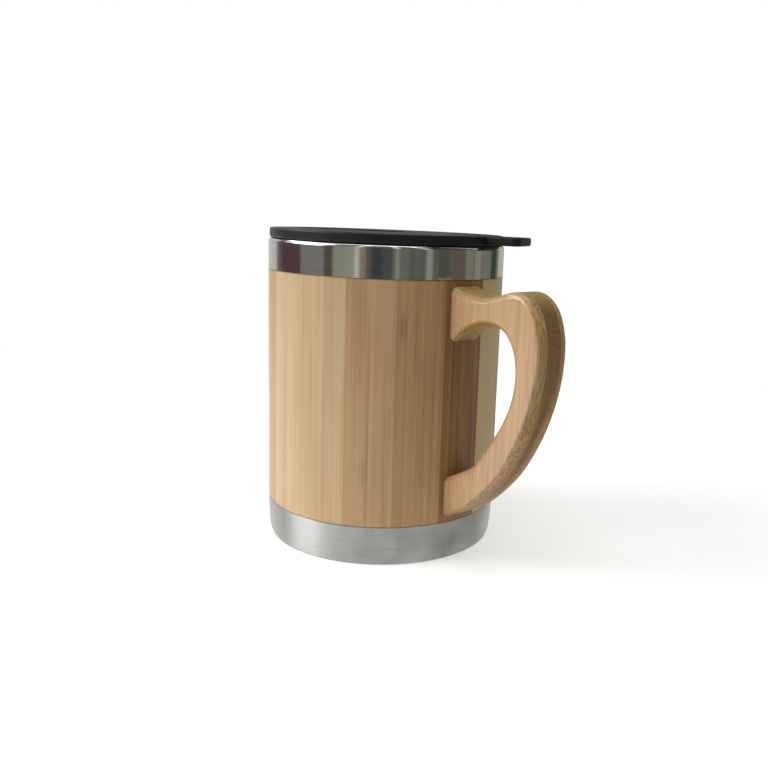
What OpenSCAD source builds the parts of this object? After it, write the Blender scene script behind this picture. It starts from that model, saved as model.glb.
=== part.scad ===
// Bamboo cup: a steel drinking liner in a sleeve of bamboo staves, with a polished steel band,
// a brushed steel base, a glued-up bamboo handle and a push-in lid with a sip slider.
// Origin: centre of the foot, on the surface that the cup stands on. +Z up, handle towards +X.

/* [Cup] */
// Outer diameter of the steel band, the bamboo sleeve and the steel base
cup_d = 91.5; // [84:0.5:100]
// Height of the brushed steel base below the bamboo
base_h = 14.7; // [12:0.1:20]
// Height of the bamboo sleeve
sleeve_h = 90; // [80:1:110]
// Height of the polished steel band above the bamboo
band_h = 11.7; // [11:0.1:16]

/* [Bamboo sleeve] */
// Number of bamboo staves glued edge to edge
stave_count = 16; // [12:1:20]
// Thickness of the bamboo wall
sleeve_wall = 3.95; // [3.5:0.05:5]

/* [Steel] */
// Sheet thickness of the band and the base
shell_t = 0.6; // [0.5:0.05:0.8]
// Sheet thickness of the drinking liner
liner_t = 0.5; // [0.4:0.05:0.8]
// Outer rounding of the drinking lip
lip_r = 1.6; // [1.2:0.1:2]
// Inner rounding of the drinking lip
inner_lip_r = 1.2; // [0.8:0.1:1.5]
// How far the band and the base reach inside the sleeve
spigot_h = 6; // [4:0.5:7]
// Free space between the liner and what surrounds it
air_gap = 0.65; // [0.5:0.05:1.5]
// How much wider the liner is at the mouth than below it
mouth_step = 1; // [0.6:0.1:1.4]
// Rounding between the liner's wall and its floor
liner_corner_r = 8; // [4:0.5:15]
// Free height between the base's floor and the liner's floor
floor_gap = 2.8; // [1.5:0.1:5]
// How far the base's wall draws in towards the foot
foot_draw = 1.4; // [1:0.1:2.5]
// Height of the straight wall at the top of the base
base_straight = 1.9; // [1:0.1:3]
// Width of the foot ring
foot_w = 7; // [4:0.5:12]
// Depth of the hollow inside the foot ring
foot_hollow = 1.6; // [1:0.1:2.5]

/* [Handle] */
// How far the handle stands out from the sleeve
handle_reach = 42; // [36:1:50]
// Bamboo left bare below the handle
handle_low = 2.2; // [1:0.1:6]
// Bamboo left bare above the handle
handle_high = 1.3; // [1:0.1:6]
// Thickness of the middle ply
core_ply_t = 6.8; // [4.6:0.1:8]
// Thickness of each outer ply
side_ply_t = 3.7; // [3.2:0.1:6]
// Rounding along the handle's edges
handle_round_r = 2.4; // [1:0.1:2.8]

/* [Handle screws] */
// Thread diameter
screw_d = 3.5; // [3:0.1:4]
// Length under the head
screw_l = 14; // [12:0.5:16]
// Head diameter
screw_head_d = 7; // [6:0.1:8]
// Head height
screw_head_h = 2.2; // [1.8:0.1:2.4]
// Distance between two turns of the thread
screw_pitch = 1.4; // [1:0.1:2]

/* [Lid] */
// Thickness of the lid's rim
lid_t = 3.6; // [3.2:0.1:5]
// How far the lid's edge lies inside the cup's
lid_inset = 0.45; // [0.2:0.05:1]
// Rounding of the lid's edges
lid_round_r = 0.7; // [0.4:0.1:1]
// Direction of the lid's tab, counted from the handle
lid_turn = 24.25; // [-180:0.25:180]
// How far the tab stands out from the lid's edge
tab_reach = 11.5; // [8:0.5:15]
// Width of the tab
tab_w = 17; // [12:0.5:22]
// Rounding of the tab's corners
tab_corner_r = 3; // [2:0.1:5]
// How far the tab's underside lies above the rim's underside
tab_rise = 0.5; // [0.2:0.1:1]
// Free space between the plug and the mouth
plug_clear = 0.5; // [0.3:0.05:0.8]
// Wall thickness of the plug
plug_wall = 2.2; // [2:0.1:3]
// Free height below the plug
plug_floor_gap = 1.2; // [0.8:0.1:2]
// Diameter of the air vent
vent_d = 2; // [1.5:0.1:3]
// Distance of the air vent from the middle of the lid
vent_offset = 20; // [14:0.5:30]

/* [Gasket] */
// Height of the gasket
gasket_h = 3; // [2:0.1:4]
// Depth of its groove in the plug
groove_depth = 1.1; // [0.8:0.1:1.4]
// Gap between the gasket's lips and the mouth
seal_gap = 0.1; // [0.05:0.01:0.2]

/* [Sip opening and slider] */
// Width of the sip opening, along the lid's edge
sip_w = 12; // [8:0.5:14]
// Length of the sip opening, towards the middle
sip_l = 7; // [6:0.5:8]
// Plate kept round the sip opening
sip_land = 3; // [2:0.1:4]
// Travel of the slider
slider_travel = 12; // [11:0.5:14]
// Width of the slider
slider_w = 19.4; // [18:0.1:22]
// Thickness of the slider's plate
slider_t = 1; // [0.8:0.1:1.4]
// Rounding of the slider's corners
slider_corner_r = 3; // [2:0.1:5]
// Height of the grip ribs
rib_h = 0.8; // [0.4:0.1:1]
// Width of one grip rib
rib_w = 0.8; // [0.5:0.1:1]
// Distance between grip ribs
rib_pitch = 2; // [1.5:0.1:2.5]
// Length of the grip ribs
rib_l = 12; // [8:0.5:15]
// Number of grip ribs
rib_count = 5; // [3:1:6]
// Side of the slider's square stem
stem_w = 4; // [3:0.1:5]
// Width of the clip on the stem
clip_w = 10; // [8:0.5:14]
// Length of the clip on the stem
clip_l = 8; // [6:0.5:10]
// Thickness of the clip
clip_t = 1.2; // [0.8:0.1:1.6]

/* [Hidden] */
// Glue or weld line between two fixed pieces
bond_gap = 0.05;
// Clearance of a piece that runs on another
run_gap = 0.05;
// Clearance at the sides of the slider
side_gap = 0.3;
// Clearance of a screw in the stave that it goes through
screw_gap = 0.25;
// Clearance of the thread in the handle
thread_gap = 0.03;
// Wood left free past the tip of a screw
tip_gap = 0.7;
// How far a screw head stands out of the sleeve's inner face
head_proud = 0.6;
// Free height between the upper screw's head and the band
head_clear = 0.5;
// Depth of the thread
thread_depth = 0.5;
// Length of a screw's point
tip_l = 2.5;
// Width and depth of the cross in a screw head
cross_w = 1;
cross_depth = 1.2;
// Free height between the band's shoulder and the widening of the liner
step_clear = 0.9;
// Flat top of the lip on the liner's side of the weld
lip_flat = 0.6;
// Plate between the sip pocket and the plug's wall
pocket_margin = 1.5;
// Gap above the grip ribs, to the lid's top face
rib_clear = 0.15;
// Height of the gasket's two lips
gasket_lip_h = 0.7;
// Overrun of every cut
over = 1;

cup_r = cup_d / 2;
sleeve_in_r = cup_r - sleeve_wall;
spigot_r = sleeve_in_r - bond_gap;
liner_r = spigot_r - shell_t - air_gap;
bore_r = liner_r - liner_t;
mouth_r = bore_r + mouth_step;
sleeve_top_z = base_h + sleeve_h;
rim_z = sleeve_top_z + band_h;
lid_top_z = rim_z + lid_t;
stave_angle = 360 / stave_count;

// Steel base and liner
base_curve_h = base_h - base_straight;
foot_r = cup_r - foot_draw;
foot_in_r = foot_r - foot_w;
liner_floor_z = foot_hollow + shell_t + floor_gap;
step_z = sleeve_top_z + shell_t + step_clear;
join_r = mouth_r + inner_lip_r + lip_flat;

// Handle
handle_z = base_h + handle_low;
handle_h = sleeve_h - handle_low - handle_high;
handle_t = core_ply_t + 2 * side_ply_t;
// Outer edge, from the upper root to the lower root, as shares of the reach and the height
outer_shares = [
    [0, 0.989], [0.09, 0.971], [0.22, 0.96], [0.37, 0.96], [0.52, 0.978], [0.67, 0.996], [0.8, 0.984],
    [0.918, 0.932], [0.985, 0.845], [1, 0.753], [0.976, 0.637], [0.906, 0.51], [0.792, 0.38],
    [0.637, 0.255], [0.446, 0.15], [0.232, 0.062], [0, 0]
];
// Inner edge, each point across the bar from the same point of the outer edge
inner_shares = [
    [0, 0.763], [0.07, 0.792], [0.19, 0.828], [0.35, 0.852], [0.47, 0.852], [0.565, 0.841],
    [0.63, 0.817], [0.68, 0.782], [0.714, 0.738], [0.728, 0.69], [0.724, 0.632], [0.688, 0.556],
    [0.61, 0.473], [0.487, 0.38], [0.32, 0.272], [0.155, 0.22], [0, 0.182]
];
// How far the roots run inside the sleeve's face before they are cut to it
root_share = -0.12;
lower_screw_share = 0.125;
head_seat = sleeve_in_r + screw_head_h - head_proud;
upper_screw_z = sleeve_top_z - spigot_h - head_clear - screw_head_d / 2;
lower_screw_z = handle_z + lower_screw_share * handle_h;
screw_zs = [upper_screw_z, lower_screw_z];

// Lid
lid_r = cup_r - lid_inset;
plug_r = mouth_r - plug_clear;
plug_in_r = plug_r - plug_wall;
plug_z = step_z + mouth_step + plug_floor_gap;
groove_r = plug_r - groove_depth;
gasket_z = (plug_z + rim_z - gasket_h) / 2;
gasket_r = mouth_r - seal_gap;
pocket_far = plug_in_r - pocket_margin;
pocket_depth = run_gap + slider_t + rib_h + rib_clear;
pocket_z = lid_top_z - pocket_depth;
sip_x = sip_land + side_gap - pocket_far;
slot_x = sip_x + sip_l + sip_land;
slot_l = stem_w + slider_travel + 2 * side_gap;
slider_l = slot_x + slot_l + sip_land + pocket_far - side_gap;
slider_x = side_gap - pocket_far;
pocket_l = slider_l + slider_travel + 2 * side_gap;
stem_x = slot_x + side_gap;
slider_z = pocket_z + run_gap;
clip_z = rim_z - run_gap - clip_t;

stave_names = [for (i = [1:stave_count]) str("stave_", i < 10 ? "0" : "", i)];

// Points of an elliptical arc round c
function arc(c, rx, ry, from, to, n = 8) =
    [for (k = [0:n]) let (a = from + (to - from) * k / n) c + [rx * cos(a), ry * sin(a)]];

// Smooth curve through the points p, with n steps between two of them
function smooth(p, n = 4) = [
    for (i = [0:len(p) - 2], k = [0:n - 1])
        let (
            a = p[max(i - 1, 0)],
            b = p[i],
            c = p[i + 1],
            d = p[min(i + 2, len(p) - 1)],
            t = k / n
        )
        b + t * (c - a) / 2 + t * t * (a - 2.5 * b + 2 * c - d / 2)
            + t * t * t * (-a + 3 * b - 3 * c + d) / 2,
    p[len(p) - 1]
];

// A share of the handle's reach and height, in millimetres
function handle_point(s) = [cup_r + s[0] * handle_reach, handle_z + s[1] * handle_h];

// One edge of the handle, with each root run on into the sleeve
function handle_edge(shares) = concat(
    [handle_point([root_share, shares[0][1]])],
    smooth([for (s = shares) handle_point(s)]),
    [handle_point([root_share, shares[len(shares) - 1][1]])]
);

function backwards(p) = [for (i = [len(p) - 1:-1:0]) p[i]];

function handle_outline() = concat(handle_edge(outer_shares), backwards(handle_edge(inner_shares)));

// The closed outline p, which runs clockwise, drawn in by d
function drawn_in(p, d) = [
    for (i = [0:len(p) - 1])
        let (
            t = p[(i + 1) % len(p)] - p[(i + len(p) - 1) % len(p)],
            u = t / norm(t)
        )
        p[i] + d * [u[1], -u[0]]
];

// Where the handle's root meets the sleeve, y off the handle's middle
function seat_x(y) = sqrt(pow(cup_r + bond_gap, 2) - y * y);

// The handle's outline at y, drawn in by d, with its roots ending on the sleeve.
// Every other point keeps at least half of its distance from the sleeve.
function ply_ring(y, d) =
    let (
        outline = handle_outline(),
        p = drawn_in(outline, d),
        half = len(p) / 2
    )
    [
        for (i = [0:len(p) - 1])
            let (
                k = i % half,
                root = k == 1 || k == half - 2,
                low_x = seat_x(y) + (outline[i][0] - cup_r) / 2
            )
            if (k > 0 && k < half - 1) [root ? seat_x(y) : max(p[i][0], low_x), y, p[i][1]]
    ];

module drinking_liner() {
    step_out = liner_t * tan(22.5);
    color("silver") rotate_extrude($fn = 128) polygon(concat(
        [[0, liner_floor_z + liner_t]],
        arc([bore_r - liner_corner_r, liner_floor_z + liner_t + liner_corner_r],
            liner_corner_r, liner_corner_r, -90, 0),
        [[bore_r, step_z], [mouth_r, step_z + mouth_step]],
        arc([mouth_r + inner_lip_r, rim_z - inner_lip_r], inner_lip_r, inner_lip_r, 180, 90),
        [[join_r, rim_z], [join_r, rim_z - liner_t]],
        arc([mouth_r + inner_lip_r, rim_z - inner_lip_r],
            inner_lip_r - liner_t, inner_lip_r - liner_t, 90, 180),
        [[mouth_r + liner_t, step_z + mouth_step - step_out], [liner_r, step_z - step_out]],
        arc([bore_r - liner_corner_r, liner_floor_z + liner_t + liner_corner_r],
            liner_corner_r + liner_t, liner_corner_r + liner_t, 0, -90),
        [[0, liner_floor_z]]
    ));
}

module polished_band() {
    lip_centre = [cup_r - lip_r, rim_z - lip_r];
    color("gainsboro") rotate_extrude($fn = 128) polygon(concat(
        [[join_r + bond_gap, rim_z]],
        arc(lip_centre, lip_r, lip_r, 90, 0),
        [[cup_r, sleeve_top_z],
         [spigot_r, sleeve_top_z],
         [spigot_r, sleeve_top_z - spigot_h],
         [spigot_r - shell_t, sleeve_top_z - spigot_h],
         [spigot_r - shell_t, sleeve_top_z + shell_t],
         [cup_r - shell_t, sleeve_top_z + shell_t]],
        arc(lip_centre, lip_r - shell_t, lip_r - shell_t, 0, 90),
        [[join_r + bond_gap, rim_z - shell_t]]
    ));
}

module brushed_base() {
    hollow_in = shell_t * tan(22.5);
    curve_centre = [foot_r, base_curve_h];
    color("darkgray") rotate_extrude($fn = 128) polygon(concat(
        [[0, foot_hollow], [foot_in_r - foot_hollow, foot_hollow], [foot_in_r, 0]],
        arc(curve_centre, foot_draw, base_curve_h, -90, 0, 12),
        [[cup_r, base_h],
         [spigot_r, base_h],
         [spigot_r, base_h + spigot_h],
         [spigot_r - shell_t, base_h + spigot_h],
         [spigot_r - shell_t, base_h - shell_t],
         [cup_r - shell_t, base_h - shell_t]],
        arc(curve_centre, foot_draw - shell_t, base_curve_h - shell_t, 0, -90, 12),
        [[foot_in_r + hollow_in, shell_t],
         [foot_in_r - foot_hollow + hollow_in, foot_hollow + shell_t],
         [0, foot_hollow + shell_t]]
    ));
}

// One stave. The first carries the handle and has the screws' holes.
module stave(i) {
    color(i % 3 == 0 ? "burlywood" : i % 3 == 1 ? "tan" : "wheat") difference() {
        rotate([0, 0, (i - 1.5) * stave_angle]) translate([0, 0, base_h])
            rotate_extrude(angle = stave_angle, $fn = 128)
                translate([sleeve_in_r, 0]) square([sleeve_wall, sleeve_h]);
        if (i == 1)
            for (z = screw_zs)
                stave_screw_hole(z);
    }
}

module stave_screw_hole(z) {
    translate([sleeve_in_r - over, 0, z]) rotate([0, 90, 0]) {
        cylinder(d = screw_d + 2 * screw_gap, h = sleeve_wall + 2 * over, $fn = 48);
        cylinder(d = screw_head_d + 2 * screw_gap, h = head_seat - sleeve_in_r + over, $fn = 64);
    }
}

module handle_core() {
    color("peru") difference() {
        translate([0, core_ply_t / 2, 0]) rotate([90, 0, 0])
            linear_extrude(core_ply_t) polygon(handle_outline());
        translate([0, 0, -over]) cylinder(r = cup_r + bond_gap, h = lid_top_z + 2 * over, $fn = 128);
        for (z = screw_zs)
            translate([cup_r, 0, z]) rotate([0, 90, 0])
                cylinder(d = screw_d + 2 * thread_gap, h = head_seat + screw_l + tip_gap - cup_r, $fn = 48);
    }
}

// Outer ply on the +Y side. Its free edges are rounded over.
module side_ply() {
    steps = 4;
    inner_y = core_ply_t / 2;
    flat_y = handle_t / 2 - handle_round_r;
    rings = concat(
        [ply_ring(inner_y, 0), ply_ring((inner_y + flat_y) / 2, 0)],
        [for (k = [0:steps])
            let (a = 90 * k / steps)
            ply_ring(flat_y + handle_round_r * sin(a), handle_round_r * (1 - cos(a)))]
    );
    n = len(rings[0]);
    last = (len(rings) - 1) * n;
    // Each flat side is a strip of triangles from the outer edge to the inner one
    caps = [
        for (i = [0:n / 2 - 2])
            let (j = n - 1 - i)
            each [
                [i, i + 1, j - 1],
                [i, j - 1, j],
                [last + j - 1, last + i + 1, last + i],
                [last + j, last + j - 1, last + i]
            ]
    ];
    walls = [
        for (k = [0:len(rings) - 2], i = [0:n - 1], side = [0:1])
            let (
                a = k * n + i,
                b = k * n + (i + 1) % n
            )
            side == 0 ? [a, a + n, b + n] : [a, b + n, b]
    ];
    polyhedron([for (ring = rings) each ring], concat(walls, caps), convexity = 6);
}

// Left and right are as seen from the handle's side of the cup
module handle_left() {
    color("burlywood") mirror([0, 1, 0]) side_ply();
}

module handle_right() {
    color("burlywood") side_ply();
}

// Pan-head wood screw, driven outwards from inside the sleeve
module handle_screw(z) {
    r = screw_d / 2;
    turns = floor((screw_l - tip_l - screw_pitch) / screw_pitch);
    thread_l = turns * screw_pitch;
    start = screw_l - tip_l - thread_l;
    color("lightsteelblue") translate([head_seat, 0, z]) rotate([0, 90, 0]) difference() {
        rotate_extrude($fn = 48) polygon(concat(
            [[0, -screw_head_h], [screw_head_d / 2 - screw_head_h / 2, -screw_head_h]],
            arc([screw_head_d / 2 - screw_head_h / 2, -screw_head_h / 2],
                screw_head_h / 2, screw_head_h / 2, -90, 0, 5),
            [[screw_head_d / 2, 0], [r - thread_depth, 0], [r - thread_depth, start]],
            [for (k = [0:turns - 1], half = [0:1])
                [half == 0 ? r : r - thread_depth, start + (k + (half + 1) / 2) * screw_pitch]],
            [[0, screw_l]]
        ));
        for (turn = [0, 90])
            rotate([0, 0, turn]) translate([-screw_head_d / 4, -cross_w / 2, -screw_head_h - over])
                cube([screw_head_d / 2, cross_w, over + cross_depth]);
    }
}

module seal_ring() {
    core_r = plug_r - bond_gap;
    low = gasket_z + gasket_lip_h;
    high = gasket_z + gasket_h - gasket_lip_h;
    color("whitesmoke") rotate_extrude($fn = 128) polygon([
        [groove_r + run_gap, gasket_z], [core_r, gasket_z],
        [gasket_r, gasket_z + gasket_lip_h / 2], [core_r, low],
        [core_r, high], [gasket_r, gasket_z + gasket_h - gasket_lip_h / 2],
        [core_r, gasket_z + gasket_h], [groove_r + run_gap, gasket_z + gasket_h]
    ]);
}

// Rectangle from x, centred on the lid's line, with rounded corners
module rounded_bar(x, l, w, r, z, h) {
    translate([0, 0, z]) linear_extrude(h) union() {
        translate([x + r, -w / 2]) square([l - 2 * r, w]);
        translate([x, r - w / 2]) square([l, w - 2 * r]);
        for (cx = [x + r, x + l - r], cy = [r - w / 2, w / 2 - r])
            translate([cx, cy]) circle(r, $fn = 32);
    }
}

module lid_cover() {
    color([0.12, 0.12, 0.12]) rotate([0, 0, lid_turn]) difference() {
        union() {
            rotate_extrude($fn = 128) polygon(concat(
                [[0, rim_z], [plug_in_r, rim_z], [plug_in_r, plug_z], [plug_r, plug_z],
                 [plug_r, gasket_z - run_gap], [groove_r, gasket_z - run_gap],
                 [groove_r, gasket_z + gasket_h + run_gap], [plug_r, gasket_z + gasket_h + run_gap],
                 [plug_r, rim_z]],
                arc([lid_r - lid_round_r, rim_z + lid_round_r], lid_round_r, lid_round_r, -90, 0, 4),
                arc([lid_r - lid_round_r, lid_top_z - lid_round_r], lid_round_r, lid_round_r, 0, 90, 4),
                [[0, lid_top_z]]
            ));
            rounded_bar(plug_r, lid_r + tab_reach - plug_r, tab_w, tab_corner_r,
                rim_z + tab_rise, lid_t - tab_rise);
        }
        rounded_bar(-pocket_far, pocket_l, slider_w + 2 * side_gap, slider_corner_r + side_gap,
            pocket_z, pocket_depth + over);
        rounded_bar(sip_x, sip_l, sip_w, sip_l / 2 - bond_gap, rim_z - over, lid_t + 2 * over);
        rounded_bar(slot_x, slot_l, stem_w + 2 * side_gap, stem_w / 4, rim_z - over, lid_t + 2 * over);
        translate([vent_offset, 0, rim_z - over])
            cylinder(d = vent_d, h = lid_t + 2 * over, $fn = 32);
    }
}

module slider_plate() {
    rib_x = stem_x + stem_w / 2 - (rib_count - 1) * rib_pitch / 2;
    color([0.2, 0.2, 0.2]) rotate([0, 0, lid_turn]) union() {
        rounded_bar(slider_x, slider_l, slider_w, slider_corner_r, slider_z, slider_t);
        for (k = [0:rib_count - 1])
            translate([rib_x + k * rib_pitch - rib_w / 2, -rib_l / 2, slider_z + slider_t])
                cube([rib_w, rib_l, rib_h]);
        translate([stem_x, -stem_w / 2, clip_z]) cube([stem_w, stem_w, slider_z - clip_z]);
    }
}

// Plate pressed on the end of the stem, under the lid
module stem_clip() {
    hole_w = stem_w + 2 * thread_gap;
    clip_mid = stem_x + stem_w / 2;
    color([0.3, 0.3, 0.3]) rotate([0, 0, lid_turn]) difference() {
        rounded_bar(clip_mid - clip_l / 2, clip_l, clip_w, clip_t, clip_z, clip_t);
        translate([clip_mid - hole_w / 2, -hole_w / 2, clip_z - over])
            cube([hole_w, hole_w, clip_t + 2 * over]);
    }
}

drinking_liner();  // inner_liner
polished_band();  // rim_band
brushed_base();  // base_cap
for (i = [1:stave_count])
    stave(i);
handle_left();  // handle_left_ply
handle_core();  // handle_core_ply
handle_right();  // handle_right_ply
handle_screw(upper_screw_z);  // upper_handle_screw
handle_screw(lower_screw_z);  // lower_handle_screw
seal_ring();  // lid_gasket
lid_cover();  // lid_body
slider_plate();  // sip_slider
stem_clip();  // slider_clip
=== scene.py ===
import math
from types import SimpleNamespace

import bmesh
import bpy
from bpy.props import FloatProperty, FloatVectorProperty, IntProperty, PointerProperty
from mathutils import Matrix, Vector


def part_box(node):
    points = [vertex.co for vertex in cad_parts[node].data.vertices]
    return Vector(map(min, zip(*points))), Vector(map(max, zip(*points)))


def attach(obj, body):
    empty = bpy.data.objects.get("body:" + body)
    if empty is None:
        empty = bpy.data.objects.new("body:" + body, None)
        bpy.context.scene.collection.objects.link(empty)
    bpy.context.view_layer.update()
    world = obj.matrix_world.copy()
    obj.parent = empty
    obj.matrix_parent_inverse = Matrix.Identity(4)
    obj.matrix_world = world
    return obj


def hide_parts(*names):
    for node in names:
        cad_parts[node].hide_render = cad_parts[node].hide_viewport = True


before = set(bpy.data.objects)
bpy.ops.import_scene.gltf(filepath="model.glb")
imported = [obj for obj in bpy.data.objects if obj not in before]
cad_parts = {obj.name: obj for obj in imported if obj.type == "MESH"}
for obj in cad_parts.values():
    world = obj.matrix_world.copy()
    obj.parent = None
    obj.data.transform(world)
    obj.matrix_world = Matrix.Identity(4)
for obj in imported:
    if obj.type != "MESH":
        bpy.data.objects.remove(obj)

bl_info = {
    "name": "Lidded bamboo mug",
    "version": (1, 0, 0),
    "blender": (4, 5, 0),
    "location": "3D View > Sidebar > Mug",
    "description": "Models the mug's pieces round the packed frame and gives them their finishes",
    "category": "Object",
}

MM = 0.001
# A corner this near a plane or a radius counts as lying on it
TOUCH = 0.01 * MM
# Corners nearer to each other than this are merged
MERGE = 0.0005 * MM
# How near a bend a held corner lies
HOLD = 0.12 * MM
# At a bend of 45 degrees the two sides of a sheet turn this share of its thickness apart
BEND_SHIFT = math.tan(math.radians(22.5))
# Half-way up the cup
MIDDLE = Vector((0, 0, 60 * MM))
# Lengths of the cutters for the handle's seat on the sleeve, a screw's hole and its head's seat. They start
# and end clear of the bamboo, but for the floor of the head's seat
SLEEVE_CUTTER, HOLE_CUTTER, SEAT_CUTTER = 140 * MM, 12 * MM, 4 * MM

BAND_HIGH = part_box("rim_band")[1]
STAVE_LOW, STAVE_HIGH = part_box("stave_01")
LID_LOW, LID_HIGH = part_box("lid_body")
GASKET_LOW, GASKET_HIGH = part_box("lid_gasket")
CLIP_LOW, CLIP_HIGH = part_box("slider_clip")
SCREWS = ("upper_handle_screw", "lower_handle_screw")

# Outer edge of the handle from its upper root to its lower one, as shares of reach and height
OUTER_SHARES = [
    (0, 0.989), (0.09, 0.971), (0.22, 0.96), (0.37, 0.96), (0.52, 0.978), (0.67, 0.996), (0.8, 0.984),
    (0.918, 0.932), (0.985, 0.845), (1, 0.753), (0.976, 0.637), (0.906, 0.51), (0.792, 0.38),
    (0.637, 0.255), (0.446, 0.15), (0.232, 0.062), (0, 0),
]
# Inner edge, each point across the bar from the same point of the outer edge
INNER_SHARES = [
    (0, 0.763), (0.07, 0.792), (0.19, 0.828), (0.35, 0.852), (0.47, 0.852), (0.565, 0.841),
    (0.63, 0.817), (0.68, 0.782), (0.714, 0.738), (0.728, 0.69), (0.724, 0.632), (0.688, 0.556),
    (0.61, 0.473), (0.487, 0.38), (0.32, 0.272), (0.155, 0.22), (0, 0.182),
]
# Tone of each stave from dark to pale, and its cast from olive to pink. The first is behind the handle
STAVE_LOOKS = [
    (0.33, -0.12), (1.0, -0.3), (0.6, 0.05), (0.5, -0.1), (0.8, 0.08), (0.58, 0.0),
    (0.66, -0.06), (0.5, 0.04), (0.78, -0.05), (0.6, 0.1), (0.52, -0.08), (0.7, 0.02),
    (0.96, 0.08), (0.84, 0.06), (0.64, 0.0), (0.57, -0.08),
]


def srgb(code):
    """Turns a hex colour as seen on a screen into the linear colour that a shader takes."""
    parts = [int(code[i:i + 2], 16) / 255 for i in (1, 3, 5)]
    return [c / 12.92 if c <= 0.04045 else ((c + 0.055) / 1.055) ** 2.4 for c in parts]


def size(label, text, mm):
    """A length that a user can change, with its default in mm."""
    return FloatProperty(name=label, description=text, default=mm * MM, unit="LENGTH")


def paint(label, text, code):
    """A colour that a user can change, with its default as a hex colour."""
    return FloatVectorProperty(name=label, description=text, default=srgb(code), subtype="COLOR", min=0,
                               max=1)


class SteelSizes(bpy.types.PropertyGroup):
    """Sizes of the liner, the band and the base"""

    shell: size("Shell sheet", "Thickness of the band's and the base's sheet", 0.6)
    liner: size("Liner sheet", "Thickness of the liner's sheet", 0.5)
    lip: size("Lip rounding", "Outer rounding of the drinking lip", 1.6)
    inner_lip: size("Inner lip rounding", "Inner rounding of the drinking lip", 1.2)
    lip_flat: size("Lip flat", "Flat top of the lip on the liner's side", 0.6)
    spigot: size("Spigot", "How far the band and the base reach inside the bamboo", 6)
    liner_gap: size("Liner gap", "Free space between the liner and its surroundings", 0.65)
    mouth_step: size("Mouth step", "How much wider the liner is at the mouth", 1)
    step_clear: size("Step height", "Free height between the band's shoulder and the step", 0.9)
    liner_corner: size("Liner corner", "Rounding between the liner's wall and floor", 8)
    floor_gap: size("Floor gap", "Free height between the two floors", 2.8)
    foot_draw: size("Foot draw", "How far the base draws in towards the foot", 1.4)
    base_straight: size("Straight wall", "Height of the straight wall of the base", 1.9)
    foot_width: size("Foot ring", "Width of the foot ring", 7)
    foot_hollow: size("Foot hollow", "Depth of the hollow inside the foot ring", 1.6)
    steps: IntProperty(name="Steps", description="Steps of a spun piece, a whole number for each stave",
                       default=192, min=48)


class BambooSizes(bpy.types.PropertyGroup):
    """Sizes of the sleeve and the handle"""

    wall: size("Sleeve wall", "Thickness of the bamboo sleeve", 3.95)
    end_edge: size("Sleeve ends", "Bevel at the sleeve's upper and lower edge", 0.3)
    joint_edge: size("Stave joints", "Bevel along each stave's joint", 0.07)
    # A hair less than the solid's 42 mm, so that the smooth curve stays inside its box
    reach: size("Handle reach", "How far the handle stands out from the sleeve", 41.99)
    low: size("Below the handle", "Bamboo left bare below the handle", 2.2)
    high: size("Above the handle", "Bamboo left bare above the handle", 1.3)
    core: size("Middle ply", "Thickness of the handle's middle ply", 6.8)
    side: size("Outer ply", "Thickness of each of the handle's outer plies", 3.7)
    rounding: size("Handle rounding", "Rounding along the handle's edges", 2.4)
    bond: size("Glue line", "Gap between two glued pieces", 0.05)
    screw_hole: size("Screw hole", "Radius of a screw's hole through the first stave", 2)
    head_room: size("Head room", "How much wider than a screw's head its seat is, on each side", 0.25)
    head_seat: size("Head seat", "How deep a screw's head is let into the sleeve", 1.6)
    pilot: size("Pilot hole", "Radius of a screw's hole in the handle", 1.78)
    tip_room: size("Tip room", "How much deeper than the screw its hole in the handle is", 0.7)


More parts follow.
